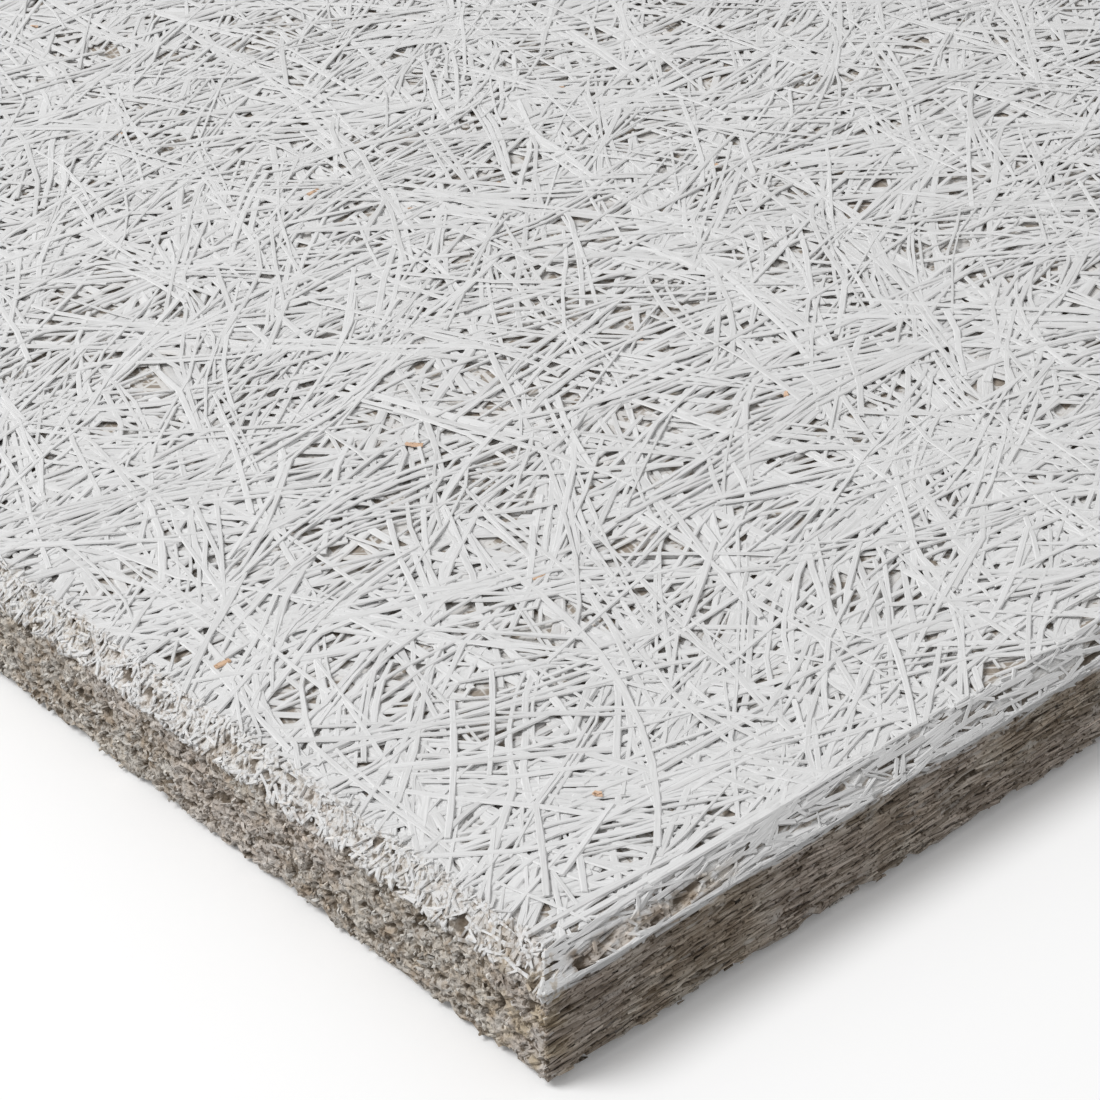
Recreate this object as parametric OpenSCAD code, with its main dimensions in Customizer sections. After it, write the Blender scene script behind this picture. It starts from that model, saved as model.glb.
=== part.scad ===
// A wood wool board for walls and ceilings: one mat of wood strands that is bound with cement,
// pressed, sawn to size, bevelled round its face and sprayed with paint. It lies on its back.
// X runs the way most strands lie, Z is up, and the origin is the middle of the back.

/* [Board] */
// Length of the board, the way most strands lie
board_l = 600; // [400:10:900]
// Width of the board
board_w = 600; // [400:10:900]
// Thickness of the board, from its back to the top of its highest strand
board_t = 25; // [20:1:50]
// Width and depth of the 45 degree bevel round the face
bevel = 5; // [2:0.5:8]

/* [Strands on the face] */
// Distance between the middles of neighbouring strands
strand_pitch = 40; // [36:1:90]
// Average length of a strand
strand_l = 72; // [40:2:100]
// Average width of a strand
strand_w = 3; // [1:0.1:4]
// How far the highest strand stands above the mat
strand_h = 1.2; // [0.5:0.1:1.5]
// How far the strands stray to either side of the main run, in degrees
strand_stray = 80; // [20:5:90]
// Largest turn of a strand between its two ends, in degrees
strand_turn = 45; // [10:5:60]

/* [Gaps in the mat] */
// Distance between the middles of neighbouring gaps in the face
face_gap_pitch = 66; // [60:1:150]
// Distance between the middles of neighbouring gaps in the back
back_gap_pitch = 100; // [60:1:150]
// Average length of a gap
gap_l = 12; // [5:0.5:16]
// Average width of a gap
gap_w = 3.4; // [1:0.1:5]
// Depth of the deepest gap
gap_d = 4; // [1:0.5:6]

/* [Sawn sides] */
// Average length of a groove between the strands along the two long-grain sides
groove_l = 45; // [20:5:60]
// Distance between the middles of neighbouring grooves
groove_pitch = 100; // [70:5:120]
// Average length of a pit among the cut strand ends of the two end-grain sides
pit_l = 5; // [2:0.5:8]
// Distance between the middles of neighbouring pits
pit_pitch = 60; // [20:5:80]
// Height of a groove or pit
mark_h = 1.5; // [0.6:0.1:2]
// Depth of a groove or pit
mark_d = 1.2; // [0.5:0.1:2]

/* [Chipped corner] */
// Length of the chip that is broken out of the bevel beside one corner
chip_l = 9; // [4:0.5:14]
// Width of the chip
chip_w = 3.5; // [2:0.5:6]
// Depth of the chip
chip_d = 1.6; // [0.8:0.1:2.5]

/* [Hidden] */

// The saw cuts the board out of a wider mat, by this much on each side
saw_waste = 12;
// A cutter reaches this far past the surface that it opens
past = 1;
// One strand is drawn as this many straight stretches
stretches = 2;
// Share of its cell that a gap keeps clear of each of the neighbouring cells
gap_margin = 0.12;
// Rows of grooves, and of pits, one above another below the bevel
groove_rows = 3;
pit_rows = 2;
// Grooves and pits lean up to this many degrees
mark_lean = 6;

mat_top = board_t - strand_h;
side_h = board_t - bevel;

// Eight random numbers from 0 to 1 for each of count things
function draws(count, seed) = rands(0, 1, 8 * max(count, 1), seed);

// A place for thing i of a field, one to a cell of an even grid, strayed within its cell
function cell(i, columns, rows, length, width, along, across) = [
    ((i % columns + along) / columns - 0.5) * length,
    ((floor(i / columns) + across) / rows - 0.5) * width
];

// A number from low to high
function between(low, high, share) = low + (high - low) * share;

// A flat strand that bends evenly through an angle, as straight stretches of an arc
module strand_outline(length, turn, width) {
    radius = length / (abs(turn) * PI / 180);
    side = sign(turn);
    inner = [for (k = [0:stretches]) arc_point(radius - width / 2, turn, k, radius, side)];
    outer = [for (k = [stretches:-1:0]) arc_point(radius + width / 2, turn, k, radius, side)];
    polygon(concat(inner, outer));
}

function arc_point(r, turn, k, radius, side) =
    let (a = abs(turn) * (k / stretches - 0.5))
    [r * sin(a), side * (radius - r * cos(a))];

// The strands that lie highest on the face, strewn over it and pressed into the mat
module strands() {
    columns = round(board_l / strand_pitch);
    rows = round(board_w / strand_pitch);
    count = columns * rows;
    r = draws(count, 7);
    for (i = [0:count - 1]) {
        middle = cell(i, columns, rows, board_l, board_w, r[8 * i], r[8 * i + 1]);
        heading = strand_stray * (r[8 * i + 2] + r[8 * i + 3] + r[8 * i + 4] - 1.5) / 1.5;
        length = strand_l * between(0.6, 1.4, r[8 * i + 5]);
        width = strand_w * between(0.7, 1.3, r[8 * i + 3]);
        turn = strand_turn * between(0.2, 1, r[8 * i + 6]) * (i % 2 == 0 ? 1 : -1);
        rise = i == 0 ? strand_h : strand_h * between(0.35, 0.95, r[8 * i + 7]);
        sunk = strand_h * between(0.3, 0.8, r[8 * i + 4]);
        translate([middle.x, middle.y, mat_top - sunk]) rotate(heading)
            linear_extrude(sunk + rise) strand_outline(length, turn, width);
    }
}

// Gaps where the strands leave the mat open, as narrow four-sided slits that run with the strands
module gaps(pitch, seed) {
    columns = round(board_l / pitch);
    rows = round(board_w / pitch);
    count = columns * rows;
    r = draws(count, seed);
    for (i = [0:count - 1]) {
        along = between(gap_margin, 1 - gap_margin, r[8 * i]);
        across = between(gap_margin, 1 - gap_margin, r[8 * i + 1]);
        middle = cell(i, columns, rows, board_l, board_w, along, across);
        heading = strand_stray * (r[8 * i + 2] + r[8 * i + 3] - 1);
        half_l = gap_l * between(0.6, 1.4, r[8 * i + 4]) / 2;
        half_w = gap_w * between(0.7, 1.3, r[8 * i + 5]) / 2;
        skew = half_l * between(-0.6, 0.6, r[8 * i + 6]);
        depth = gap_d * between(0.4, 1, r[8 * i + 7]);
        translate([middle.x, middle.y, -depth]) rotate(heading)
            linear_extrude(depth + past)
                polygon([[-half_l, 0], [skew, -half_w], [half_l, 0], [-skew, half_w]]);
    }
}

// The pressed mat before it is sawn: felted strands with gaps in both faces
module mat() {
    difference() {
        translate([-board_l / 2 - saw_waste, -board_w / 2 - saw_waste, 0])
            cube([board_l + 2 * saw_waste, board_w + 2 * saw_waste, mat_top]);
        translate([0, 0, mat_top]) gaps(face_gap_pitch, 11);
        mirror([0, 0, 1]) gaps(back_gap_pitch, 5);
    }
}

// The section that the saw and the bevel cutter leave, open below the back
module sawn_section(width) {
    polygon([
        [-width / 2, -past], [width / 2, -past], [width / 2, side_h],
        [width / 2 - bevel - past, board_t + past], [-width / 2 + bevel + past, board_t + past],
        [-width / 2, side_h]
    ]);
}

// What is left between the four saw cuts and inside the four bevel cuts
module sawn_block() {
    intersection() {
        translate([0, board_w / 2, 0]) rotate([90, 0, 0])
            linear_extrude(board_w) sawn_section(board_l);
        translate([-board_l / 2, 0, 0]) rotate([90, 0, 90])
            linear_extrude(board_l) sawn_section(board_w);
    }
}

// A row of notches in a flat side that lies in the XZ plane, its outside towards -Y
module notch_row(side_l, height, pitch, notch_l, seed) {
    count = round(side_l / pitch);
    r = draws(count, seed);
    for (i = [0:count - 1]) {
        along = ((i + between(0.2, 0.8, r[8 * i])) / count - 0.5) * side_l;
        length = notch_l * between(0.6, 1.4, r[8 * i + 1]);
        tall = mark_h * between(0.6, 1.2, r[8 * i + 2]);
        deep = mark_d * between(0.5, 1, r[8 * i + 3]);
        lean = mark_lean * between(-1, 1, r[8 * i + 4]);
        up = height * between(0.1, 0.9, r[8 * i + 5]);
        translate([along, 0, up]) rotate([0, lean, 0]) translate([-length / 2, -past, -tall / 2])
            cube([length, deep + past, tall]);
    }
}

// Notches in one side and its bevel, in rows one above another
module side_notches(side_l, side_at, rows, pitch, notch_l, seed) {
    for (row = [0:rows - 1]) {
        translate([0, -side_at, row * side_h / rows])
            notch_row(side_l, side_h / rows, pitch, notch_l, seed + row);
    }
    translate([0, -side_at, side_h]) rotate([-45, 0, 0])
        notch_row(side_l - 4 * bevel, bevel * sqrt(2), pitch, notch_l, seed + rows);
}

// Grooves between the strands that lie along a side, and pits among the ends of cut strands
module sawn_marks() {
    for (turn = [0, 180]) {
        rotate(turn) side_notches(board_l, board_w / 2, groove_rows, groove_pitch, groove_l, 20 + turn);
        rotate(turn + 90) side_notches(board_w, board_l / 2, pit_rows, pit_pitch, pit_l, 30 + turn);
    }
}

// The piece that is broken out of the bevel beside the corner
module chip() {
    translate([-board_l / 2 + bevel + chip_l / 2, -board_w / 2 + bevel / 2, board_t - bevel / 2])
        rotate([-45, 0, 0]) translate([0, 0, -chip_d]) linear_extrude(chip_d + bevel)
            polygon([
                [-chip_l / 2, 0], [-chip_l / 4, -chip_w / 2], [chip_l / 4, -chip_w / 3],
                [chip_l / 2, chip_w / 6], [0, chip_w / 2]
            ]);
}

// The whole board
module panel() {
    color("whitesmoke") difference() {
        intersection() {
            sawn_block();
            union() {
                mat();
                strands();
            }
        }
        sawn_marks();
        chip();
    }
}

panel();
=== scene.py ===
"""The looks of a wood wool board: felted strands, sawn sides, bevels, spray paint and bare back."""

import math

import bmesh
import bpy
import numpy as np
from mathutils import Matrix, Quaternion, Vector, noise


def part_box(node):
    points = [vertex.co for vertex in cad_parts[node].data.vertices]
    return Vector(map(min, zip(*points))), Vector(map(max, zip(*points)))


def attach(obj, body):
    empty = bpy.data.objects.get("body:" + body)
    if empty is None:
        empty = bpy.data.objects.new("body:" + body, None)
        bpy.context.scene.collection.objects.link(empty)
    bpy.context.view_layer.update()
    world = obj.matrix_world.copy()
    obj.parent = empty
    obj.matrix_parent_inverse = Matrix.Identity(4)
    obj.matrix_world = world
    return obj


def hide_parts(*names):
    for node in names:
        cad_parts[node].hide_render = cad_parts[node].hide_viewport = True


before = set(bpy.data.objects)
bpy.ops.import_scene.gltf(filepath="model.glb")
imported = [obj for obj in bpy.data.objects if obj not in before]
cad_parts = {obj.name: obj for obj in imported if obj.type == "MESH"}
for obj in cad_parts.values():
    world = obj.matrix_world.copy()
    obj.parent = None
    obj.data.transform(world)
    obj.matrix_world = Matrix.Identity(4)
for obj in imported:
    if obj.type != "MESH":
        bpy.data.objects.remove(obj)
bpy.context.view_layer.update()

# Sizes are in millimetres until a mesh is finished, and then in metres; X runs along the grain
MM = 0.001
top_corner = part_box("panel")[1]
HALF_L, HALF_W, THICK = top_corner.x / MM, top_corner.y / MM, top_corner.z / MM
BEVEL = 5.0
SIDE_H = THICK - BEVEL
SLOPE = math.sqrt(0.5)
# The corner that the photo shows, from which the places in the tables below are measured
NEAR_CORNER = np.array((-HALF_L, -HALF_W, 0))

# How deep the pressed strands reach below the face and above the back, over a solid core
FACE_DEPTH = 1.75
BACK_DEPTH = 0.9
# How far the core of a sawn side lies inside the saw cut, and how deep it is torn at most
SIDE_SKIN = 0.6
DEEPEST_TEAR = 2.2
# The core stays at least this far inside the cuts
CORE_MARGIN = 0.05
# Rows of points up a side of the core, and columns along a long-grain side and along a cut side
CORE_ROWS = 34
CORE_COLUMNS = (220, 530)

# Sizes of single strands, from and to, as shares of their kind's mean
LENGTHS = (0.55, 1.5)
WIDTHS = (0.6, 1.45)
THICKNESSES = (0.8, 1.25)
# A strand's width wavers between these shares of it along its length
WAVER = (0.8, 1.15)
# How far strands roll, turn from end to end and sway, in degrees
ROLL_SPREAD = 5
TURN_SPREAD = 25
SWAY_SPREAD = 10
# The top of a strand is this much narrower than its foot, as the paint rounds its edges
TOP_SHARE = 0.7
# Points of a straight strand, one unit long, that lie past this are at an end of it
AT_END = 0.49
# Points closer than this are one
SAME_PLACE = 0.01

# How the strands lie in the face: the share of them in the main run, and degrees from +X
MAIN_SHARE = 0.55
MAIN_RUN = 12
MAIN_SPREAD = 42
# Strands lie side by side in families of up to this many: how far their headings differ, how many
# widths they lie aside, and how far ahead
FAMILY = 3
FAMILY_SPREAD = 4
FAMILY_ASIDE = (1.0, 2.2)
FAMILY_AHEAD = 12
# Short bits lie any way, up to this many radians to either side of X
ANY_WAY = 1.5
# Strands are strewn this far past the saw cuts
OVERRUN = 30
# Where the one generator of random numbers starts
SEED = 21

# Pits are torn into the sides and bevels where a noise from -1 to 1 is above this
PIT_RARITY = 0.27
PIT_STEEPNESS = 5
# A strand lies across a pit where the pit is at least this deep
PIT_UNDER_STRAND = 0.4
# How large pits, and fine and broad roughness, are along X, Y and Z: on a side of cut strand
# ends, and on a side of strands laid open lengthwise
END_PIT, END_FINE, END_BROAD = (1.9, 1.9, 1.5), (2, 1.0, 0.8), (4, 2.8, 1.8)
LONG_PIT, LONG_FINE, LONG_BROAD = (4.5, 1.6, 1.0), (4, 2, 0.75), (9, 4, 1.8)
# Levels of noise that keep pits and broad roughness apart from the fine
PIT_LEVEL = 90
BROAD_LEVEL = 40
# Heights of the core's fine and broad roughness, and how far all of it lies back
FINE_ROUGH = 0.6
BROAD_ROUGH = 0.5
ROUGH_BACK = 0.05
# Height of the torn lower edge of a side, and what is torn off all along it
TORN_H = 2.8
LEAST_TORN = 0.1
# Its scallops, broad and fine: how far apart, how deep, and the level of noise that they follow
SCALLOPS = ((3.4, 3.8, 0.5), (1.2, 1.1, 7.5))
# Strands stay this far above the torn edge
STRAND_ABOVE_FOOT = 0.1
# The core ends this far above the torn edge, and follows it over this much of its side and back
CORE_ABOVE_FOOT = 0.25
FOOT_REACH = 4
# How deep the deepest strand end lies in a cut, and how near to a cut a point counts as on it
CUT_WEAR = 0.06
ON_CUT = 1e-5

# A strand that is painted has a tone below this; one that the paint missed has a tone above it
PAINTED_TONE = 0.95
# The grain of each strand starts at its tone times this
GRAIN_APART = 977

# Hollows that are broken out of the bevels near the corner: from the corner, and how wide
HOLLOWS = (
    ((1.2, 22.5, 21.2), 1.5),
    ((0.6, 3.6, 20.9), 1.3),
    ((9.5, 1.2, 21.0), 1.3),
    ((16.4, 1.6, 21.6), 1.2),
    ((20.2, 1.9, 21.9), 1.0),
    ((31.6, 1.3, 21.3), 1.5),
)
HOLLOW_PLACES = np.array([place for place, size in HOLLOWS]) + NEAR_CORNER
HOLLOW_SIZES = np.array([size for place, size in HOLLOWS])
# Places along a strand where it is tested for running through a hollow
HOLLOW_TESTS = 15
# The core is opened this much wider than a hollow, and this steeply
HOLLOW_REACH = 1.4
HOLLOW_STEEPNESS = 1.3

# Chips of bare wood that the photo shows in the face: from the corner
CHIPS = ((75.7, 87.3), (38.3, 29.4), (15.2, 105.8))

# Flakes and torn strands at the near corner: middle from the corner, length, width, heading,
# roll and climb; a roll of 45 lies on the bevel towards -Y
TORN = (
    ((4.6, 0.75, 20.45), 7.5, 2.4, 4, 45, -0.10),
    ((2.0, 0.60, 20.1), 3.6, 1.6, -38, 62, -0.25),
    ((7.9, 2.60, 22.2), 6.0, 1.1, 14, 38, 0.06),
    ((21.0, 0.20, 19.8), 27.0, 0.9, 0, 45, 0.00),
    ((36.0, 0.35, 20.0), 20.0, 0.8, 1, 45, 0.00),
    ((25.0, 3.60, 23.2), 34.0, 1.0, 1, 40, 0.00),
    ((13.0, 3.00, 22.6), 14.0, 0.9, 6, 42, 0.02),
    ((34.0, 4.60, 24.35), 50.0, 1.5, 1, 18, 0.00),
    ((14.0, 4.20, 24.0), 20.0, 1.2, 3, 22, 0.00),
    ((52.0, 3.70, 23.5), 32.0, 1.0, -1, 30, 0.00),
    ((13.2, 2.30, 21.9), 4.0, 0.7, 60, 30, 0.30),
    ((24.4, 2.00, 21.6), 4.5, 0.7, 66, 30, 0.35),
    ((27.6, 2.10, 21.7), 4.0, 0.6, 58, 30, 0.30),
    ((1.2, 8.0, 20.9), 7.0, 0.8, 84, 0, 0.02),
    ((2.6, 13.0, 22.3), 9.0, 0.8, 96, 0, -0.02),
)

# The widest and longest strands that can be told apart in the face beside the near corner: two
# ends and a place between them, from the corner, and how wide
SEEN = (
    ((71, 88), (63, 53), (30, 6), 1.7),
    ((38, 68), (25, 52), (12, 38), 1.3),
    ((49, 70), (39, 58), (28, 46), 1.1),
    ((26, 68), (40, 58), (58, 45), 1.0),
    ((55, 48), (66, 36), (75, 24), 1.0),
    ((44, 95), (57, 79), (67, 67), 1.0),
    ((107, 73), (95, 64), (83, 56), 1.5),
    ((29, 35), (21, 24), (14, 15), 1.3),
    ((63, 20), (54, 23.5), (45, 26), 1.2),
    ((109, 29), (99, 15), (89, 3), 1.4),
    ((112, 19), (102, 11.5), (92, 4), 1.3),
    ((12, 6.8), (32, 6.2), (58, 5.8), 1.5),
    ((30, 5.4), (52, 5.3), (80, 5.7), 1.4),
    ((6, 9.2), (20, 8.7), (40, 7.4), 1.2),
    ((20, 17.5), (28, 21), (39, 26), 1.3),
    ((95, 75), (76, 70), (58, 65), 1.2),
    ((30, 101), (47, 108), (66, 111), 1.2),
)


# Strands

def straight_strands(name, count, stretches):
    """A mesh of count straight strands, each one unit long, wide and thick, cut into stretches."""
    bm = bmesh.new()
    bmesh.ops.create_cube(bm, size=1)
    for v in bm.verts:
        v.co.y *= TOP_SHARE if v.co.z > 0 else 1
    lengthwise = [e for e in bm.edges if e.verts[0].co.x * e.verts[1].co.x < 0]
    if stretches > 1:
        bmesh.ops.subdivide_edges(bm, edges=lengthwise, cuts=stretches - 1, use_grid_fill=True)
    for f in bm.faces:
        f.smooth = True
    for e in bm.edges:
        first, last = (v.co.x for v in e.verts)
        e.smooth = abs(first - last) < SAME_PLACE and abs(first) < AT_END
    each = len(bm.verts), len(bm.edges), len(bm.faces)
    made = 1
    while made < count:
        more = min(made, count - made)
        parts = zip((bm.verts, bm.edges, bm.faces), each)
        bmesh.ops.duplicate(bm, geom=[e for seq, n in parts for e in seq[:more * n]])
        made += more
    mesh = bpy.data.meshes.new(name)
    bm.to_mesh(mesh)
    bm.free()
    return mesh


def strand_sizes(rng, count, length, width, thick):
    """Sizes, bends and tones of count strands, still without a place."""
    return {
        "length": length * rng.uniform(*LENGTHS, count),
        "width": width * rng.uniform(*WIDTHS, count),
        "thick": thick * rng.uniform(*THICKNESSES, count),
        "tone": PAINTED_TONE * rng.random(count),
        "roll": np.radians(rng.normal(0, ROLL_SPREAD, count)),
        "turn": np.radians(rng.normal(0, TURN_SPREAD, count)),
        "sway": np.radians(rng.normal(0, SWAY_SPREAD, count)),
        "climb": np.zeros(count),
    }


def strewn(rng, count, length, width, thick):
    """Strands strewn over the whole mat in small families that run side by side."""
    s = strand_sizes(rng, count, length, width, thick)
    sizes = rng.integers(1, FAMILY + 1, count)
    family = np.repeat(np.arange(count), sizes)[:count]
    member = np.concatenate([np.arange(n) for n in sizes])[:count]
    main = rng.random(count) < MAIN_SHARE
    main_heading = rng.normal(MAIN_RUN, MAIN_SPREAD, count)
    heading = np.where(main, main_heading, rng.uniform(-90, 90, count))
    s["heading"] = np.radians(heading[family] + rng.normal(0, FAMILY_SPREAD, count))
    s["turn"] = 0.8 * s["turn"][family] + 0.2 * s["turn"]
    aside = member * width * rng.uniform(*FAMILY_ASIDE, count)
    ahead = rng.uniform(-FAMILY_AHEAD, FAMILY_AHEAD, count) * (member > 0)
    x = rng.uniform(-HALF_L - OVERRUN, HALF_L + OVERRUN, count)[family]
    y = rng.uniform(-HALF_W - OVERRUN, HALF_W + OVERRUN, count)[family]
    s["x"] = x - aside * np.sin(s["heading"]) + ahead * np.cos(s["heading"])
    s["y"] = y + aside * np.cos(s["heading"]) + ahead * np.sin(s["heading"])
    return s


def bend(rng, s, stretches, wave, dip):
    """Where the middle of each strand runs, at the ends of its stretches, and its heading there."""
    share = np.arange(stretches + 1) / stretches - 0.5
    between = (share[1:] + share[:-1]) / 2
    straight, turn, sway = (s[key][:, None] for key in ("heading", "turn", "sway"))
    way, there = (straight + turn * at + sway * (4 * at ** 2 - 0.3) for at in (between, share))
    step = (s["length"] / stretches)[:, None]
    line = []
    for middle, part in ((s["x"], np.cos(way)), (s["y"], np.sin(way))):
        run = np.cumsum(np.concatenate([np.zeros_like(step), step * part], 1), 1)
        line.append(run + (middle - run.mean(1))[:, None])
    climb = (s["climb"] * s["length"])[:, None] * share
    z = s["z"][:, None] + rng.normal(0, wave, line[0].shape) + climb
    z -= dip * np.abs(2 * share) ** 4
    return np.stack([*line, z], 2), there


def strand_points(rng, s, template, stretches, wave=0.12, dip=0.0, press=None):
    """The corners of every strand, from the corners of a straight one.

    A strand waves up and down by wave, its ends dip by dip, and press flattens it to the face.
    """
    line, heading = bend(rng, s, stretches, wave, dip)
    station = np.rint((template[:, 0] + 0.5) * stretches).astype(int)
    c, h = line[:, station], heading[:, station]
    cos_roll, sin_roll = np.cos(s["roll"])[:, None], np.sin(s["roll"])[:, None]
    broad = rng.uniform(*WAVER, heading.shape)[:, station]
    across = template[:, 1] * s["width"][:, None] * broad
    up = template[:, 2] * s["thick"][:, None]
    out = across * cos_roll - up * sin_roll
    z = c[..., 2] + across * sin_roll + up * cos_roll
    if press is not None:
        under = np.where(template[:, 2] > 0, 0, 1) * s["thick"][:, None]
        z = np.minimum(z, (THICK - press * rng.random(len(z)))[:, None] - under)
    return np.stack([c[..., 0] - out * np.sin(h), c[..., 1] + out * np.cos(h), z], 2)


def depth_inside(p, rim=0.0):
    """How far points lie inside the nearest cut, face or back; rim moves the saw cuts inwards."""
    inset = np.minimum(HALF_L - np.abs(p[..., 0]), HALF_W - np.abs(p[..., 1])) - rim
    level = np.minimum(p[..., 2], THICK - p[..., 2])
    return np.minimum(np.minimum(inset, level), (SIDE_H + inset - p[..., 2]) * SLOPE)


def in_hollow(points, template):
    """Which strands run through one of the hollows, by places on the line between their ends."""
    first = points[:, template[:, 0] < -AT_END].mean(1)[:, None]
    last = points[:, template[:, 0] > AT_END].mean(1)[:, None]
    line = first + np.linspace(0, 1, HOLLOW_TESTS)[:, None] * (last - first)
    apart = np.linalg.norm(line[:, :, None] - HOLLOW_PLACES, axis=3) - HOLLOW_SIZES
    return apart.min((1, 2)) < 0


def cuts(rim):
    """The saw cuts and bevel cuts, the back and the face, each as a point and the way out."""
    for sx, sy, half in ((1, 0, HALF_L), (-1, 0, HALF_L), (0, 1, HALF_W), (0, -1, HALF_W)):
        edge = Vector((sx * (half - rim), sy * (half - rim), SIDE_H))
        yield edge, Vector((sx, sy, 0))
        yield edge, Vector((sx, sy, 1))
    yield Vector((0, 0, 0)), Vector((0, 0, -1))
    yield Vector((0, 0, THICK)), Vector((0, 0, 1))


def strand_piece(name, rng, s, material, slot, stretches=1, hollowed=True, rim=0.0, **laying):
    """One piece of bent strands, cut off flush where they cross the saw cuts and bevels."""
    unit = straight_strands(name + "_unit", 1, stretches)
    template = np.array([v.co for v in unit.vertices])
    bpy.data.meshes.remove(unit)
    points = strand_points(rng, s, template, stretches, **laying)
    inside = depth_inside(points, rim)
    kept = inside.max(1) > 0
    if hollowed:
        kept &= ~in_hollow(points, template)
    cut = kept & (inside.min(1) <= 0)
    bm = bmesh.new()
    for chosen in (np.flatnonzero(cut), np.flatnonzero(kept & ~cut)):
        if not len(chosen):
            continue
        mesh = straight_strands(name + "_straight", len(chosen), stretches)
        mesh.vertices.foreach_set("co", points[chosen].ravel())
        tone = np.repeat(s["tone"][chosen], len(template))
        values = {
            "tone": tone,
            "along": (template[:, 0] * s["length"][chosen, None]).ravel() + tone * GRAIN_APART,
            "across": np.tile(template[:, 1] * 2, len(chosen)),
        }
        for key, value in values.items():
            attribute = mesh.attributes.new(key, "FLOAT", "POINT")
            attribute.data.foreach_set("value", value.astype(np.float32))
        bm.from_mesh(mesh)
        bpy.data.meshes.remove(mesh)
        if cut[chosen[0]]:
            trim(bm, rim)
    return finish_piece(name, bm, material)


def trim(bm, rim):
    """Cuts all strands at the saw cuts and bevels, each with its end closed at its own depth."""
    tone = bm.verts.layers.float["tone"]
    for place, out in cuts(rim):
        geom = bm.verts[:] + bm.edges[:] + bm.faces[:]
        found = bmesh.ops.bisect_plane(
            bm, geom=geom, dist=ON_CUT, plane_co=place, plane_no=out, clear_outer=True)
        ends = [e for e in found["geom_cut"] if isinstance(e, bmesh.types.BMEdge)]
        for e in ends:
            e.smooth = False
        bmesh.ops.holes_fill(bm, edges=ends, sides=0)
        for v in found["geom_cut"]:
            if isinstance(v, bmesh.types.BMVert):
                v.co -= out.normalized() * v[tone] * CUT_WEAR


def finish_piece(name, bm, material):
    """Makes a piece of a bmesh in millimetres, which then rides on the board's body."""
    bmesh.ops.scale(bm, vec=(MM, MM, MM), verts=bm.verts)
    mesh = bpy.data.meshes.new(name)
    bm.to_mesh(mesh)
    bm.free()
    mesh.materials.append(material)
    piece = bpy.data.objects.new(name, mesh)
    bpy.context.scene.collection.objects.link(piece)
    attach(piece, "root")
    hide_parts("panel")
    return piece


# Face and back

def face_layer(name, rng, material, count, stretches, width, top, spread, length=44, **laying):
    """One layer of the felt of the face; its lowest strands lie spread below its top."""
    s = strewn(rng, count, length, width, thick=0.24)
    s["z"] = top - spread * rng.random(count) - s["thick"] / 2
    return strand_piece(
        name, rng, s, material, "painted_wood_wool", stretches=stretches, **laying)


def seen_strands(name, rng, material):
    """The strands of the face that the photo shows one by one, on top of all the others."""
    start, middle, end = (np.array([row[i] for row in SEEN]) + NEAR_CORNER[:2] for i in range(3))
    halves = middle - start, end - middle
    first, second = (np.arctan2(half[:, 1], half[:, 0]) for half in halves)
    s = strand_sizes(rng, len(SEEN), length=1, width=1, thick=0.3)
    s["length"] = np.linalg.norm(halves[0], axis=1) + np.linalg.norm(halves[1], axis=1)
    s["width"] = np.array([row[3] for row in SEEN])
    s["heading"], s["turn"], s["sway"] = (first + second) / 2, 2 * (second - first), 0 * first
    s["x"], s["y"] = ((start + end) / 6 + middle * 2 / 3).T
    s["z"] = THICK - 0.02 - s["thick"] / 2
    return strand_piece(
        name, rng, s, material, "painted_wood_wool", stretches=8, wave=0.04, press=0.02)


def bare_chips(name, rng, count, material):
    """Small chips of bare wood in the face, which broke off or which the paint missed."""
    s = strand_sizes(rng, count, length=2.4, width=1.0, thick=0.3)
    s["heading"] = rng.uniform(-ANY_WAY, ANY_WAY, count)
    s["x"] = rng.uniform(-1, 1, count) * (HALF_L - BEVEL)
    s["y"] = rng.uniform(-1, 1, count) * (HALF_W - BEVEL)
    for i, (x, y) in enumerate(CHIPS):
        s["x"][i], s["y"][i] = x - HALF_L, y - HALF_W
    s["z"] = THICK - 0.2 - 0.5 * rng.random(count) - s["thick"] / 2
    s["z"][:len(CHIPS)] = THICK - 0.25
    s["tone"] = rng.uniform(0.98, 1.0, count)
    return strand_piece(name, rng, s, material, "raw_wood_wool", stretches=2, press=0.1)


def back_layer(name, rng, count, material):
    """Strands that were pressed flat against the mould under the board."""
    lowest, spread = 0.08, 0.6
    s = strewn(rng, count, length=54, width=1.5, thick=0.34)
    s["z"] = lowest + spread * rng.random(count) + s["thick"] / 2
    return strand_piece(
        name, rng, s, material, "raw_wood_wool", stretches=2, rim=1.6, wave=0.08)


# Sawn sides and bevels

def foot(along, seed):
    """How far the ragged lower edge of a side is torn away above the back, at places along it."""
    torn = np.full(len(along), LEAST_TORN)
    for apart, deep, level in SCALLOPS:
        arcs = [abs(noise.noise(Vector((place / apart, seed, level)))) for place in along]
        torn += deep * np.array(arcs)
    return torn


def above_foot(s, along, seed):
    """The strands that stay above the ragged lower edge, by five places from end to end."""
    way = np.cos(s["heading"]) if along == "x" else np.sin(s["heading"])
    tall = s["thick"] + s["width"] * np.abs(np.sin(s["roll"]))
    stay = np.ones(len(s["x"]), bool)
    for share in (-0.5, -0.25, 0, 0.25, 0.5):
        ahead = share * s["length"]
        bottom = s["z"] + ahead * s["climb"] - tall / 2
        stay &= bottom - STRAND_ABOVE_FOOT > foot(s[along] + ahead * way, seed)
    return {key: value[stay] for key, value in s.items()}


def swell(place, size, level=0):
    """Noise from -1 to 1 at a place, with swells of a size; level keeps patterns apart."""
    x, y, z = (at / across for at, across in zip(place, size))
    return noise.noise(Vector((x, y, z + level)))


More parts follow.
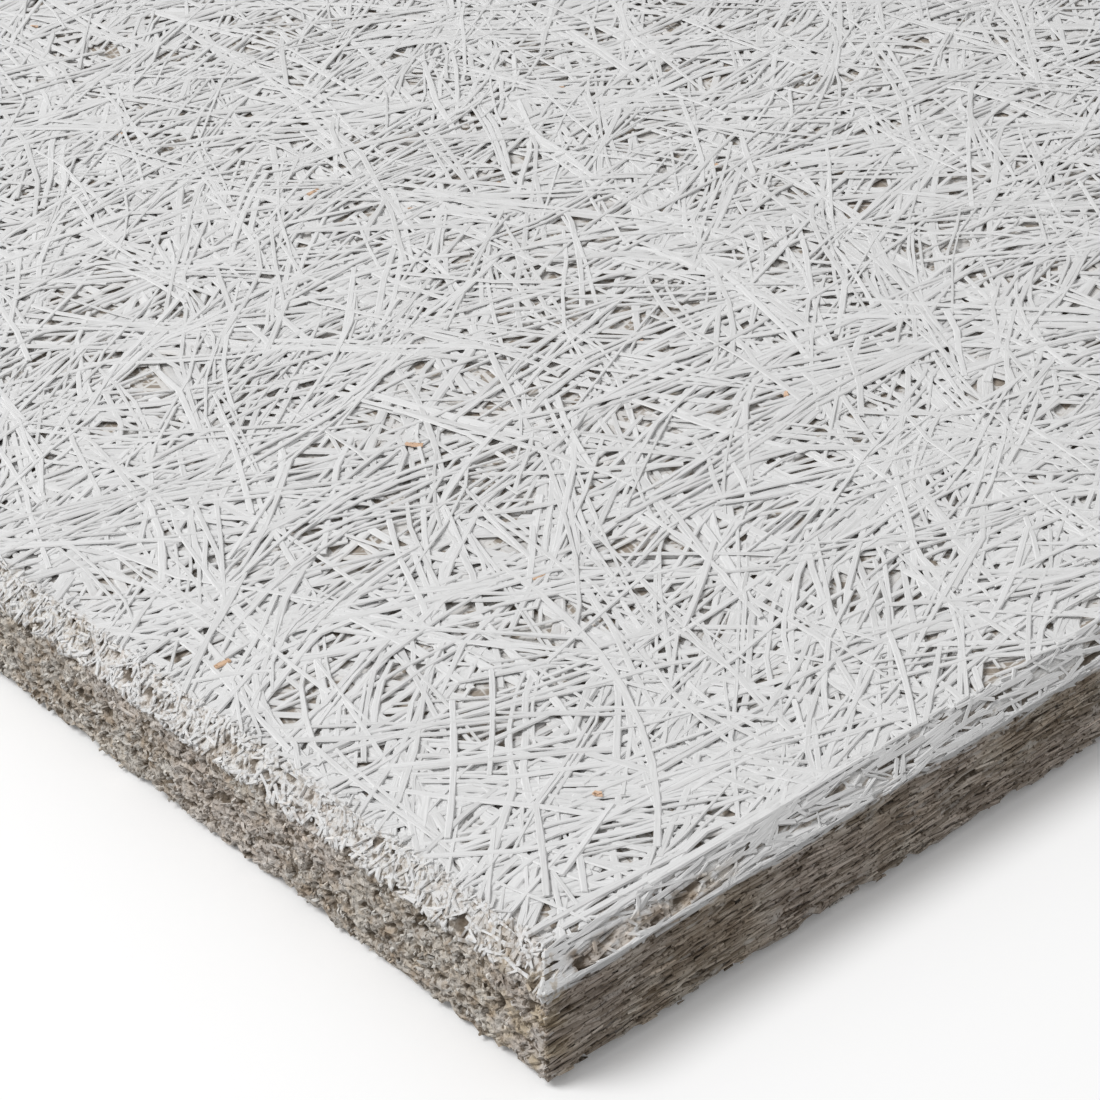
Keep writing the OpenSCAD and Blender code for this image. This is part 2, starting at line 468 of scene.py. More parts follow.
def pit_depth(place, end_grain):
    """How deep a pit is torn into a side or a bevel at a place, or 0."""
    size = END_PIT if end_grain else LONG_PIT
    return max(swell(place, size, PIT_LEVEL) - PIT_RARITY, 0) * PIT_STEEPNESS


def beside_pits(s, end_grain):
    """The strands that don't lie across a pit, by their middles and a place towards each end."""
    stay = np.ones(len(s["x"]), bool)
    for share in (-0.3, 0, 0.3):
        along = share * s["length"]
        x = s["x"] + along * np.cos(s["heading"])
        y = s["y"] + along * np.sin(s["heading"])
        z = s["z"] + along * s["climb"]
        deep = np.array([pit_depth(place, end_grain) for place in zip(x, y, z)])
        stay &= deep < PIT_UNDER_STRAND
    return {key: value[stay] for key, value in s.items()}


def on_side(rng, count, half, shallow, deep):
    """Even places on a sawn side and its bevel: how far in from the saw cut, and how high."""
    up = rng.uniform(0, SIDE_H + BEVEL / SLOPE, count)
    sunk = rng.uniform(shallow, deep, count)
    slope = up > SIDE_H
    climbed = np.where(slope, (up - SIDE_H) * SLOPE, 0)
    inset = climbed + np.where(slope, sunk * SLOPE, sunk)
    z = np.minimum(up, SIDE_H) + climbed - np.where(slope, sunk * SLOPE, 0)
    return half - inset, z


def long_grain(name, rng, count, side, material):
    """Strands that the saw laid open lengthwise; side is 1 or -1, towards Y."""
    heading_spread, roll_spread, climb_spread = 8, 0.28, 0.07
    past_corner, corner_wear, short_share, depth_shade = 4, 0.9, 0.4, 0.55
    s = strand_sizes(rng, count, length=7, width=0.75, thick=0.36)
    s["heading"] = np.radians(rng.normal(0, heading_spread, count))
    x = rng.uniform(-1, 1, count) * (HALF_L + past_corner)
    # Strands that reach a corner end a little short of it, as the corner is worn
    worn = rng.uniform(0, corner_wear, count)
    over = np.maximum(np.abs(x) + s["length"] / 2 - HALF_L + worn, 0)
    s["x"] = x - np.sign(x) * over
    s["y"] = side * (HALF_W - rng.uniform(-0.3, 1.0, count))
    s["z"] = rng.uniform(0, SIDE_H + 0.5, count)
    # Only short bits are left along the torn lower edge
    s["length"] *= np.where(s["z"] < TORN_H, short_share, 1)
    s["roll"] = rng.normal(0, roll_spread, count)
    s["climb"] = rng.normal(0, climb_spread, count)
    # Deeper strands are darker: painted shade inside the saw cut
    s["tone"] *= 1 - depth_shade * np.clip(HALF_W - np.abs(s["y"]), 0, 1)
    s = beside_pits(above_foot(s, "x", side * HALF_W), end_grain=False)
    return strand_piece(name, rng, s, material, "raw_wood_wool", wave=0.2)


def cut_ends(name, rng, count, side, material):
    """Ends of the strands that the saw cut across; side is 1 or -1, towards X."""
    heading_spread, roll_spread, climb_spread = 27, 0.6, 0.15
    least_tone, depth_shade = 0.25, 0.4
    s = strand_sizes(rng, count, length=2.6, width=0.62, thick=0.33)
    s["heading"] = np.radians(rng.normal(0, heading_spread, count))
    x, s["z"] = on_side(rng, count, HALF_L, shallow=-0.4, deep=0.75)
    s["x"] = side * (x - s["length"] * np.cos(s["heading"]) / 2)
    s["y"] = rng.uniform(-1, 1, count) * HALF_W
    s["roll"] = rng.normal(0, roll_spread, count)
    s["climb"] = rng.normal(0, climb_spread, count)
    # Deeper ends are darker: painted shade inside the saw cut
    shade = 1 - depth_shade * np.clip(HALF_L - x, 0, 1)
    s["tone"] = (least_tone + 0.68 * s["tone"]) * shade
    s = beside_pits(above_foot(s, "y", side * HALF_L), end_grain=True)
    return strand_piece(name, rng, s, material, "raw_wood_wool")


def torn_bevel(name, rng, count, side, material):
    """Torn bits of strand that lie on a bevel across the grain; side is 1 or -1, towards X."""
    roll_share, roll_spread, climb_spread = 0.8, 0.4, 0.22
    lowest, deepest = -0.5, 1.0
    s = strand_sizes(rng, count, length=3.4, width=0.7, thick=0.4)
    s["heading"] = rng.uniform(-ANY_WAY, ANY_WAY, count)
    up = rng.uniform(lowest, BEVEL, count)
    sunk = rng.uniform(0.0, deepest, count) * SLOPE
    s["x"] = side * (HALF_L - np.maximum(up, 0) - sunk)
    s["z"] = SIDE_H + up - sunk
    s["y"] = rng.uniform(-1, 1, count) * HALF_W
    s["climb"] = -side * np.cos(s["heading"]) + rng.normal(0, climb_spread, count)
    s["length"] /= np.hypot(1, s["climb"])
    s["roll"] = side * roll_share * np.sin(s["heading"]) + rng.normal(0, roll_spread, count)
    s = beside_pits(s, end_grain=True)
    return strand_piece(name, rng, s, material, "painted_wood_wool")


def split_bevel(name, rng, count, side, material):
    """Long and short bits of strand on a bevel along the grain; side is 1 or -1, towards Y."""
    long_share, longer, wider = 0.62, 2.6, 1.3
    roll_share, roll_spread = 0.6, 0.3
    lowest, highest = -0.8, -0.1
    s = strand_sizes(rng, count, length=4.5, width=0.65, thick=0.36)
    long = rng.random(count) < long_share
    heading_spread = np.where(long, 7, 28)
    climb_spread = np.where(long, 0.04, 0.14)
    deepest = np.where(long, 1.1, 0.8)
    s["length"] *= np.where(long, longer, 1)
    s["width"] *= np.where(long, wider, 1)
    s["heading"] = np.radians(rng.normal(0, heading_spread, count))
    up = rng.uniform(lowest, BEVEL, count)
    sunk = rng.uniform(highest, deepest, count) * SLOPE
    s["y"] = side * (HALF_W - np.maximum(up, 0) - sunk)
    s["z"] = SIDE_H + up - sunk
    s["x"] = rng.uniform(-1, 1, count) * HALF_L
    s["climb"] = -side * np.sin(s["heading"]) + rng.normal(0, climb_spread, count)
    s["length"] /= np.hypot(1, s["climb"])
    s["roll"] = -side * roll_share * np.cos(s["heading"]) + rng.normal(0, roll_spread, count)
    s = beside_pits(s, end_grain=False)
    return strand_piece(name, rng, s, material, "painted_wood_wool")


def torn_corner(name, rng, material):
    """Painted flakes and strands that the bevel cutter tore half loose beside the near corner."""
    places = np.array([row[0] for row in TORN]) + NEAR_CORNER
    length, width, heading, roll, climb = np.array([row[1:] for row in TORN]).T
    s = strand_sizes(rng, len(TORN), length=1, width=1, thick=0.3)
    s["length"], s["width"] = length, width
    s["x"], s["y"], s["z"] = places.T
    s["heading"], s["roll"], s["climb"] = np.radians(heading), np.radians(roll), climb
    s["turn"] = 0.4 * s["turn"]
    return strand_piece(
        name, rng, s, material, "painted_wood_wool", stretches=4, hollowed=False, wave=0.05)


# Core

def core(material):
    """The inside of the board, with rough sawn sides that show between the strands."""
    # From the middle of the back round a side to the middle of the face: how far in, and how high
    profile = (
        (SIDE_SKIN + 3, BACK_DEPTH),
        (SIDE_SKIN, BACK_DEPTH),
        (SIDE_SKIN, SIDE_H - SIDE_SKIN * (1 / SLOPE - 1)),
        (BEVEL + 0.1, THICK - 0.8),
        (BEVEL + 0.8, THICK - 0.8),
        (BEVEL + 3, THICK - FACE_DEPTH),
    )
    insets, heights = zip(*profile)
    run = np.concatenate([[0], np.cumsum(np.hypot(np.diff(insets), np.diff(heights)))])
    sides = zip((HALF_L, HALF_W) * 2, (HALF_W, HALF_L) * 2, CORE_COLUMNS * 2)
    bm = bmesh.new()
    for quarter, (half, other, columns) in enumerate(sides):
        wall = bmesh.ops.create_grid(bm, x_segments=columns, y_segments=CORE_ROWS, size=0.5)
        angle = quarter * math.pi / 2
        c, s = math.cos(angle), math.sin(angle)
        for v in wall["verts"]:
            at = (v.co.y + 0.5) * run[-1]
            inset, z = np.interp(at, run, insets), np.interp(at, run, heights)
            x, y = v.co.x * 2 * (half - inset), -(other - inset)
            v.co = (c * x - s * y, s * x + c * y, z)
    bmesh.ops.remove_doubles(bm, verts=bm.verts, dist=SAME_PLACE)
    bmesh.ops.edgeloop_fill(bm, edges=[e for e in bm.edges if e.is_boundary])
    bmesh.ops.recalc_face_normals(bm, faces=bm.faces)
    bm.normal_update()
    pit = bm.verts.layers.float.new("pit")
    felt = bm.verts.layers.float.new("felt")
    for v in bm.verts:
        inset = min(HALF_L - abs(v.co.x), HALF_W - abs(v.co.y))
        v[felt] = 1 if inset > BEVEL + 1 and v.co.z > SIDE_H else 0
        v[pit] = roughen(v)
    return finish_piece("packed_core", bm, material)


def roughen(v):
    """Moves a point of the core in or out as torn strands would; returns its depth, 0 to 1."""
    x, y, z = v.co
    end_grain = HALF_L - abs(x) < HALF_W - abs(y)
    inset = min(HALF_L - abs(x), HALF_W - abs(y))
    near_foot = 1 - math.hypot(inset - SIDE_SKIN, z - BACK_DEPTH) / FOOT_REACH
    if near_foot > 0:
        along = y if end_grain else x
        seed = math.copysign(HALF_L, x) if end_grain else math.copysign(HALF_W, y)
        v.co.z += near_foot * (foot([along], seed)[0] - BACK_DEPTH + CORE_ABOVE_FOOT)
    if inset > BEVEL + 1 or z <= BACK_DEPTH:
        return 0.5
    fine = swell((x, y, z), END_FINE if end_grain else LONG_FINE)
    broad = swell((x, y, z), END_BROAD if end_grain else LONG_BROAD, BROAD_LEVEL)
    shift = FINE_ROUGH * fine + BROAD_ROUGH * broad - ROUGH_BACK - pit_depth((x, y, z), end_grain)
    for place, size in zip(HOLLOW_PLACES, HOLLOW_SIZES):
        near = HOLLOW_REACH * size - (v.co - Vector(place)).length
        if near > 0:
            shift -= HOLLOW_STEEPNESS * near
    shift = min(max(shift, -DEEPEST_TEAR), SIDE_SKIN - CORE_MARGIN)
    v.co += Vector((v.normal.x, v.normal.y, 0)) * shift
    room = depth_inside(np.array(v.co))
    if room < CORE_MARGIN:
        v.co.z -= (CORE_MARGIN - room) / SLOPE
    return min(max(0.5 - shift, 0), 1)


# Materials

# Spray paint where it is thin and thick, and on the core
THIN_PAINT = (0.70, 0.698, 0.695)
THICK_PAINT = (0.84, 0.84, 0.84)
CORE_PAINT = (0.76, 0.755, 0.745)
# Bare wood from dark to pale, and what lies on it
WOOD = (
    (0.30, (0.300, 0.235, 0.175)),
    (0.46, (0.430, 0.360, 0.285)),
    (0.60, (0.540, 0.480, 0.405)),
    (0.75, (0.640, 0.600, 0.530)),
)
CEMENT = (0.66, 0.655, 0.635)
PALE_PATCH = (0.60, 0.545, 0.52)
# Dark specks that are partly grit and partly painted shade of small pits
GRIT_AND_PIT_SHADE = (0.12, 0.09, 0.065)
DAMP = (0.50, 0.42, 0.30)
# How bare wood is tinted by tone: shaded to well lit, and the orange of fresh wood at the top
TINTS = (
    (0.0, (0.46, 0.42, 0.37)),
    (0.35, (0.88, 0.86, 0.84)),
    (0.94, (1.45, 1.44, 1.43)),
    (0.98, (1.40, 1.08, 0.86)),
)
# The bottoms of the pits in the sides, which are painted shade, and of the gaps in the face beside
# a strand and on it
PIT_SHADE = (0.13, 0.10, 0.07)
# Beside a strand, a gap's bottom is bare wood darkened with painted shade of the deeper holes
GAP_WOOD_AND_SHADE = (0.36, 0.31, 0.26)
GAP_STRAND = (0.78, 0.765, 0.745)
# Headings of the strands in the bottoms of those gaps
GAP_HEADINGS = (15, -40, 75)


def fill_sockets(tree, sockets, values):
    """Gives each socket its number or colour, or links it to what it reads."""
    for socket, value in zip(sockets, values):
        if isinstance(value, (int, float)):
            socket.default_value = value
        elif isinstance(value, tuple):
            socket.default_value = (*value, 1)
        else:
            tree.links.new(value, socket)


def math_node(tree, operation, *values):
    """One step of arithmetic on numbers or sockets."""
    node = tree.nodes.new("ShaderNodeMath")
    node.operation = operation
    fill_sockets(tree, node.inputs, values)
    return node.outputs[0]


def product(tree, first, *others):
    """Masks multiplied together, so that all of them have to let a place through."""
    for other in others:
        first = math_node(tree, "MULTIPLY", first, other)
    return first


def noise_node(tree, vector, scale, detail, roughness=0.5, dimensions="3D"):
    """A noise of about 0.3 to 0.7; scale is in swells per metre where vector is a place."""
    node = tree.nodes.new("ShaderNodeTexNoise")
    node.noise_dimensions = dimensions
    node.inputs["Scale"].default_value = scale
    node.inputs["Detail"].default_value = detail
    node.inputs["Roughness"].default_value = roughness
    tree.links.new(vector, node.inputs["Vector"])
    return node.outputs["Fac"]


def ramp_node(tree, value, stops):
    """A colour that runs through stops as a value grows."""
    node = tree.nodes.new("ShaderNodeValToRGB")
    ramp = node.color_ramp
    while len(ramp.elements) < len(stops):
        ramp.elements.new(0.5)
    for element, (place, colour) in zip(ramp.elements, stops):
        element.position = place
        element.color = (*colour, 1)
    tree.links.new(value, node.inputs["Fac"])
    return node.outputs["Color"]


def mix_node(tree, fac, a, b, blend="MIX"):
    """Two colours mixed by a factor."""
    node = tree.nodes.new("ShaderNodeMix")
    node.data_type = "RGBA"
    node.blend_type = blend
    fill_sockets(tree, [node.inputs[key] for key in ("Factor", "A", "B")], (fac, a, b))
    return node.outputs["Result"]


def range_node(tree, value, given, wanted=(0.0, 1.0), smooth=True):
    """A value that goes from one wanted number to the other as it crosses the given range."""
    node = tree.nodes.new("ShaderNodeMapRange")
    node.interpolation_type = "SMOOTHSTEP" if smooth else "LINEAR"
    keys = ("Value", "From Min", "From Max", "To Min", "To Max")
    fill_sockets(tree, [node.inputs[key] for key in keys], (value, *given, *wanted))
    return node.outputs["Result"]


def noise_mask(tree, vector, given, wanted=(0.0, 1.0), **kind):
    """A mask of patches, where a noise crosses the given range."""
    return range_node(tree, noise_node(tree, vector, **kind), given, wanted)


def object_place(tree):
    """The place on the board, in metres."""
    return tree.nodes.new("ShaderNodeTexCoord").outputs["Object"]


def split_axes(tree, place):
    """The X, Y and Z of a place."""
    node = tree.nodes.new("ShaderNodeSeparateXYZ")
    tree.links.new(place, node.inputs[0])
    return node.outputs


def drawn_out(tree, vector, share):
    """A vector whose pattern is drawn out along X."""
    node = tree.nodes.new("ShaderNodeMapping")
    node.inputs["Scale"].default_value = (share, 1, 1)
    tree.links.new(vector, node.inputs["Vector"])
    return node.outputs["Vector"]


def attribute_node(tree, name):
    """A value that the mesh carries at its points."""
    node = tree.nodes.new("ShaderNodeAttribute")
    node.attribute_name = name
    return node.outputs["Fac"]


def new_group(name, inputs, outputs):
    """An empty node group, what it is given and what it puts out."""
    group = bpy.data.node_groups.new(name, "ShaderNodeTree")
    for key, value in inputs.items():
        socket = group.interface.new_socket(key, in_out="INPUT", socket_type="NodeSocketFloat")
        socket.default_value = value
    for key, kind in outputs.items():
        group.interface.new_socket(key, in_out="OUTPUT", socket_type=kind)
    given = group.nodes.new("NodeGroupInput").outputs
    return group, given, group.nodes.new("NodeGroupOutput").inputs


def use_group(tree, group, **values):
    """A node group placed in a material, with its own values."""
    node = tree.nodes.new("ShaderNodeGroup")
    node.node_tree = group
    for key, value in values.items():
        node.inputs[key].default_value = value
    return node


def new_material(name):
    """A material, its node tree and its shader."""
    material = bpy.data.materials.new(name)
    material.use_nodes = True
    return material, material.node_tree, material.node_tree.nodes["Principled BSDF"]


def add_bump(tree, shader, height, strength, distance):
    """Bump on a shader, of a height in millimetres."""
    bump = tree.nodes.new("ShaderNodeBump")
    bump.inputs["Strength"].default_value = strength
    bump.inputs["Distance"].default_value = distance * MM
    tree.links.new(height, bump.inputs["Height"])
    tree.links.new(bump.outputs["Normal"], shader.inputs["Normal"])


def paint_cover_group():
    """How much spray paint a place has caught, from how deep it lies below the face and bevels."""
    group, given, out = new_group(
        "paint_cover", {"Depth": 2.0, "Ragged": 1.0}, {"Cover": "NodeSocketFloat"})
    place = object_place(group)
    axes = split_axes(group, place)
    x = math_node(group, "SUBTRACT", HALF_L * MM, math_node(group, "ABSOLUTE", axes["X"]))
    y = math_node(group, "SUBTRACT", HALF_W * MM, math_node(group, "ABSOLUTE", axes["Y"]))
    surface = math_node(group, "ADD", math_node(group, "MINIMUM", x, y), SIDE_H * MM)
    surface = math_node(group, "MINIMUM", surface, THICK * MM)
    below = math_node(group, "DIVIDE", math_node(group, "SUBTRACT", surface, axes["Z"]), MM)
    patchy = noise_node(group, place, scale=420, detail=2)
    broad = math_node(group, "MULTIPLY", noise_node(group, place, scale=70, detail=0), 1.6)
    stray = math_node(group, "SUBTRACT", math_node(group, "ADD", patchy, broad), 1.3)
    stray = math_node(group, "MULTIPLY", stray, given["Ragged"])
    share = math_node(group, "DIVIDE", math_node(group, "ADD", below, stray), given["Depth"])
    cover = range_node(group, share, (0.35, 1.0), (1.0, 0.0))
    # Paint lies broken on the strand ends in the bevels towards +X and -X
    across = range_node(group, x, (4.5 * MM, 6.5 * MM), (1.0, 0.0))
    flecks = noise_mask(
        group, place, (0.47, 0.62), (0.0, 0.6), scale=1000, detail=1, roughness=0.6)
    whole = math_node(group, "SUBTRACT", 1.0, product(group, across, flecks))
    # The paint is worn off a strip of the bevel towards -Y beside the near corner
    along = math_node(group, "ADD", axes["X"], HALF_L * MM)
    inward = math_node(group, "ADD", axes["Y"], HALF_W * MM)
    worn = product(
        group,
        range_node(group, along, (6 * MM, 9 * MM)),
        range_node(group, along, (36 * MM, 48 * MM), (1.0, 0.0)),
        range_node(group, inward, (0.5 * MM, 1.0 * MM)),
        range_node(group, inward, (2.6 * MM, 3.4 * MM), (1.0, 0.0)),
        range_node(group, patchy, (0.32, 0.5)))
    left = math_node(group, "SUBTRACT", 1.0, worn)
    group.links.new(product(group, cover, whole, left), out["Cover"])
    return group


def raw_wool_group():
    """Bare wood wool: brown wood under a film of pale cement, with a damp stain at the corner."""
    group, given, out = new_group(
        "raw_wool", {"Tone": 0.5, "Cement": 0.5}, {"Color": "NodeSocketColor"})
    place = object_place(group)
    axes = split_axes(group, place)
    colour = ramp_node(group, noise_node(group, place, scale=130, detail=2, roughness=0.6), WOOD)
    film = noise_mask(group, place, (0.30, 0.62), scale=330, detail=2, roughness=0.65)
    colour = mix_node(group, product(group, film, given["Cement"]), colour, CEMENT)
    pale = noise_mask(group, place, (0.42, 0.62), (0.0, 0.35), scale=38, detail=0)
    colour = mix_node(group, pale, colour, PALE_PATCH)
    # Dark specks, partly grit and partly painted shade of small pits
    grit = noise_mask(
        group, place, (0.30, 0.45), (0.85, 0.0), scale=1150, detail=1, roughness=0.7)
    colour = mix_node(group, grit, colour, GRIT_AND_PIT_SHADE)
    damp = product(
        group,
        range_node(group, axes["Y"], ((4 - HALF_W) * MM, (22 - HALF_W) * MM), (1.0, 0.0)),
        noise_mask(group, place, (0.40, 0.62), scale=210, detail=0),
        range_node(group, axes["X"], ((2 - HALF_L) * MM, (8 - HALF_L) * MM), (1.0, 0.0)),
        0.75)
    colour = mix_node(group, damp, colour, DAMP)
    colour = mix_node(group, 1.0, colour, ramp_node(group, given["Tone"], TINTS), "MULTIPLY")
    group.links.new(colour, out["Color"])
    return group


def grit_node(tree):
    """Fine grit and splinters, drawn out the way the strands run."""
    place = drawn_out(tree, object_place(tree), 0.3)
    return noise_node(tree, place, scale=1500, detail=2, roughness=0.65)


def felt_node(tree):
    """Where strands run in the dim bottom of the gaps in the face: 1 on a strand, 0 beside it."""
    place = object_place(tree)
    felt = 0.0
    for heading in GAP_HEADINGS:
        turned = tree.nodes.new("ShaderNodeVectorRotate")
        turned.rotation_type = "Z_AXIS"
        turned.inputs["Angle"].default_value = math.radians(-heading)
        tree.links.new(place, turned.inputs["Vector"])
        run = drawn_out(tree, turned.outputs["Vector"], 0.1)
        strands = noise_mask(tree, run, (0.50, 0.60), scale=650, detail=1)
        felt = math_node(tree, "MAXIMUM", felt, strands)
    return felt


def strand_material(name, cover, raw, depth, ragged, cement, splinters):
    """Paint over wool, on the strands.

    The paint reaches a depth, with a ragged edge; below it lies wood with cement and splinters.
    """
    material, tree, shader = new_material(name)
    tone = attribute_node(tree, "tone")
    paint = use_group(tree, cover, Depth=depth, Ragged=ragged)
    wool = use_group(tree, raw, Cement=cement)
    tree.links.new(tone, wool.inputs["Tone"])
    grain_at = tree.nodes.new("ShaderNodeCombineXYZ")
    along = math_node(tree, "MULTIPLY", attribute_node(tree, "along"), 0.12)
    across = math_node(tree, "MULTIPLY", attribute_node(tree, "across"), 1.6)
    fill_sockets(tree, grain_at.inputs, (along, across))
    grain = noise_node(
        tree, grain_at.outputs[0], scale=1.5, detail=2, roughness=0.6, dimensions="2D")
    by_grain = range_node(tree, grain, (0.3, 0.7), (0.0, 0.5))
    by_tone = range_node(tree, tone, (0, PAINTED_TONE), (0.0, 0.5))
    thick_coat = math_node(tree, "ADD", by_grain, by_tone)
    white = mix_node(tree, thick_coat, THIN_PAINT, THICK_PAINT)
    missed = range_node(tree, tone, (0.96, 0.97), (1.0, 0.0))
    mask = product(tree, paint.outputs["Cover"], missed)
    colour = mix_node(tree, mask, wool.outputs["Color"], white)
    tree.links.new(colour, shader.inputs["Base Color"])
    tree.links.new(range_node(tree, grain, (0.2, 0.8), (0.72, 0.9)), shader.inputs["Roughness"])
    rough = grain
    if splinters:
        rough = math_node(tree, "ADD", grain, product(tree, grit_node(tree), splinters))
    add_bump(tree, shader, rough, strength=0.6, distance=0.15)
    shader.inputs["Specular IOR Level"].default_value = 0.25
    return material


def core_material(name, cover, raw):
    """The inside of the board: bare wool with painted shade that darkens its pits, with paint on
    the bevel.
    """
    material, tree, shader = new_material(name)
    paint = use_group(tree, cover, Depth=2.3, Ragged=1.4)
    wool = use_group(tree, raw, Cement=0.6)
    grit = grit_node(tree)
    tree.links.new(grit, wool.inputs["Tone"])
    rough = math_node(tree, "SUBTRACT", 0.5, grit)
    deep = math_node(tree, "ADD", attribute_node(tree, "pit"), rough)
    # Deeper places in the pits are darkened with painted shade
    shaded = range_node(tree, deep, (0.58, 0.95), (0.0, 0.9))
    wood = mix_node(tree, shaded, wool.outputs["Color"], PIT_SHADE)
    reached = range_node(tree, deep, (0.50, 0.72), (1.0, 0.15))
    coat = product(tree, paint.outputs["Cover"], reached)
    skin = mix_node(tree, coat, wood, CORE_PAINT)
    # Between the felt's strands lies bare wood darkened with painted shade
    felt = mix_node(tree, felt_node(tree), GAP_WOOD_AND_SHADE, GAP_STRAND)
    colour = mix_node(tree, attribute_node(tree, "felt"), skin, felt)
    tree.links.new(colour, shader.inputs["Base Color"])
    shader.inputs["Roughness"].default_value = 0.9
    shader.inputs["Specular IOR Level"].default_value = 0.2
    add_bump(tree, shader, grit, strength=0.9, distance=0.45)
    return material


# Camera, light and floor

# Width and focal length of the photo in pixels, and width of the sensor in millimetres
PHOTO_W = 1100
FOCAL_PX = 3391
SENSOR = 36
# Where the camera stands, from the near corner, and which way it looks, in degrees
CAMERA_FROM_CORNER = (-263.8, -321.5, 374.7)
LOOKS_DOWN = 32.95
LOOKS_TOWARDS = 50.07
ROLL = -2.39
# Light that falls on the board from all round, and from one soft lamp
WORLD_LIGHT = 0.43
KEY_WATTS = 39
KEY_SIZE = 1.2
KEY_PLACE = (-1.55, 0.35, 1.95)
# The floor: half its width, what the board sees of it, and what the lens sees of it, with a glow
FLOOR_HALF = 6
FLOOR_DROP = 0.0002
FLOOR_GREY = (0.3, 0.3, 0.3)
FLOOR_WHITE = (0.95, 0.95, 0.95)
FLOOR_LIFT = 0.10


def camera():
    """The camera of the photo."""
    data = bpy.data.cameras.new("camera")
    data.sensor_width = SENSOR
    data.lens = FOCAL_PX / PHOTO_W * SENSOR
    data.clip_start, data.clip_end = 0.01, 50
    eye = bpy.data.objects.new("camera", data)
    eye.location = Vector(NEAR_CORNER + CAMERA_FROM_CORNER) * MM
    down, towards = math.radians(LOOKS_DOWN), math.radians(LOOKS_TOWARDS)
    level = math.cos(down)
    ahead = Vector((math.cos(towards) * level, math.sin(towards) * level, -math.sin(down)))
    turn = ahead.to_track_quat("-Z", "Y")
    turn.rotate(Quaternion(ahead, math.radians(-ROLL)))
    eye.rotation_mode = "QUATERNION"
    eye.rotation_quaternion = turn
    bpy.context.scene.collection.objects.link(eye)
    bpy.context.scene.camera = eye


def soft_light(name, place, size, watts):
    """A round lamp that shines on the middle of the board and isn't seen itself."""
    data = bpy.data.lights.new(name, "AREA")
    data.shape = "DISK"
    data.size = size
    data.energy = watts
    lamp = bpy.data.objects.new(name, data)
    lamp.location = place
    lamp.rotation_mode = "QUATERNION"
    lamp.rotation_quaternion = (-Vector(place)).to_track_quat("-Z", "Y")
    lamp.visible_camera = False
    bpy.context.scene.collection.objects.link(lamp)


def seen_white(tree):
    """A factor that is 1 for what the lens and reflections see, and 0 for light on the board."""
    rays = tree.nodes.new("ShaderNodeLightPath").outputs
    seen = math_node(tree, "MAXIMUM", rays["Is Camera Ray"], rays["Is Glossy Ray"])
    return math_node(tree, "MAXIMUM", seen, rays["Is Transmission Ray"])


def surroundings():
    """Soft light from all round, before a white that only the lens sees."""
    world = bpy.data.worlds.new("studio")
    world.use_nodes = True
    tree = world.node_tree
    background = tree.nodes["Background"]
    strength = range_node(tree, seen_white(tree), (0, 1), (WORLD_LIGHT, 1.0), smooth=False)
    background.inputs["Color"].default_value = (1, 1, 1, 1)
    tree.links.new(strength, background.inputs["Strength"])
    bpy.context.scene.world = world


def floor():
    """A plain pale floor just under the board."""
    bm = bmesh.new()
    bmesh.ops.create_grid(bm, x_segments=1, y_segments=1, size=FLOOR_HALF)
    mesh = bpy.data.meshes.new("floor")
    bm.to_mesh(mesh)
    bm.free()
    ground = bpy.data.objects.new("floor", mesh)
    ground.location.z = -FLOOR_DROP
    material, tree, shader = new_material("pale_floor")
    seen = seen_white(tree)
    tree.links.new(mix_node(tree, seen, FLOOR_GREY, FLOOR_WHITE), shader.inputs["Base Color"])
    glow = mix_node(tree, seen, (0.0, 0.0, 0.0), (FLOOR_LIFT,) * 3)
    tree.links.new(glow, shader.inputs["Emission Color"])
    shader.inputs["Emission Strength"].default_value = 1.0
    shader.inputs["Roughness"].default_value = 0.9
    shader.inputs["Specular IOR Level"].default_value = 0.0
    mesh.materials.append(material)
    bpy.context.scene.collection.objects.link(ground)


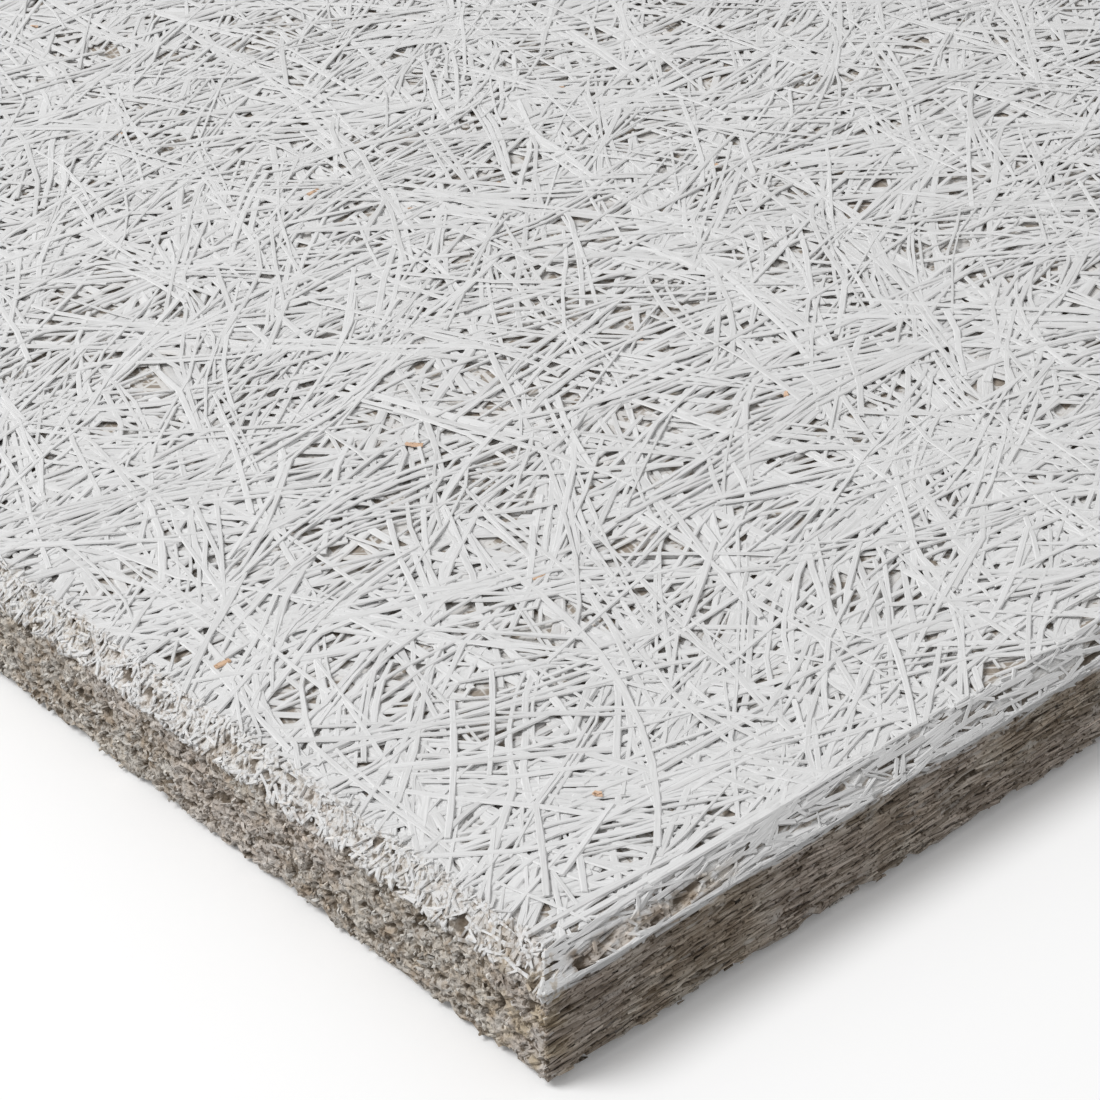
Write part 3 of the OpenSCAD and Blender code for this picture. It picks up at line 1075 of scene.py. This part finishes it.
def main():
    """The studio, the materials, and then the pieces, which draw from one generator in turn."""
    camera()
    surroundings()
    soft_light("key", KEY_PLACE, KEY_SIZE, KEY_WATTS)
    floor()
    bpy.context.scene.view_settings.view_transform = "Standard"

    wool = paint_cover_group(), raw_wool_group()
    sprayed = strand_material(
        "sprayed_strands", *wool, depth=2.9, ragged=1.0, cement=0.3, splinters=0.0)
    torn = strand_material(
        "torn_strands", *wool, depth=1.9, ragged=2.2, cement=0.8, splinters=0.9)
    split = strand_material(
        "split_strands", *wool, depth=3.0, ragged=1.5, cement=0.6, splinters=0.7)
    sawn = strand_material(
        "sawn_strands", *wool, depth=1.5, ragged=1.4, cement=0.12, splinters=1.2)
    ends = strand_material(
        "sawn_ends", *wool, depth=1.8, ragged=1.6, cement=0.95, splinters=1.2)
    core(core_material("packed_wool", *wool))

    rng = np.random.default_rng(SEED)
    face_layer(
        "face_strands_top", rng, sprayed, count=6400, stretches=4, width=1.0,
        top=THICK + 0.1, spread=0.5, wave=0.3, dip=0.7, press=0.2, rim=0.15)
    face_layer(
        "face_strands_upper", rng, sprayed, count=8100, stretches=3, width=1.1,
        top=THICK - 0.15, spread=0.5, wave=0.25, dip=0.4, press=0.3, rim=0.45)
    face_layer(
        "face_strands_low", rng, sprayed, count=6600, stretches=2, width=1.6, length=54,
        top=THICK - 0.55, spread=0.6, wave=0.15, dip=0.2, rim=0.8)
    seen_strands("seen_strands", rng, sprayed)
    bare_chips("bare_chips", rng, 40, sprayed)
    torn_corner("torn_corner", rng, sprayed)
    # The two sides that the photo shows are made a little finer than the other two
    for side, word, fine in ((1, "back", 0.8), (-1, "front", 1.2)):
        long_grain("long_grain_" + word, rng, int(7000 * fine), side, sawn)
        split_bevel("split_bevel_" + word, rng, int(1700 * fine), side, split)
    for side, word, fine in ((1, "right", 0.8), (-1, "left", 1.2)):
        cut_ends("cut_ends_" + word, rng, int(7800 * fine), side, ends)
        torn_bevel("torn_bevel_" + word, rng, int(2100 * fine), side, torn)
    back_layer("back_strands", rng, 1600, ends)


main()
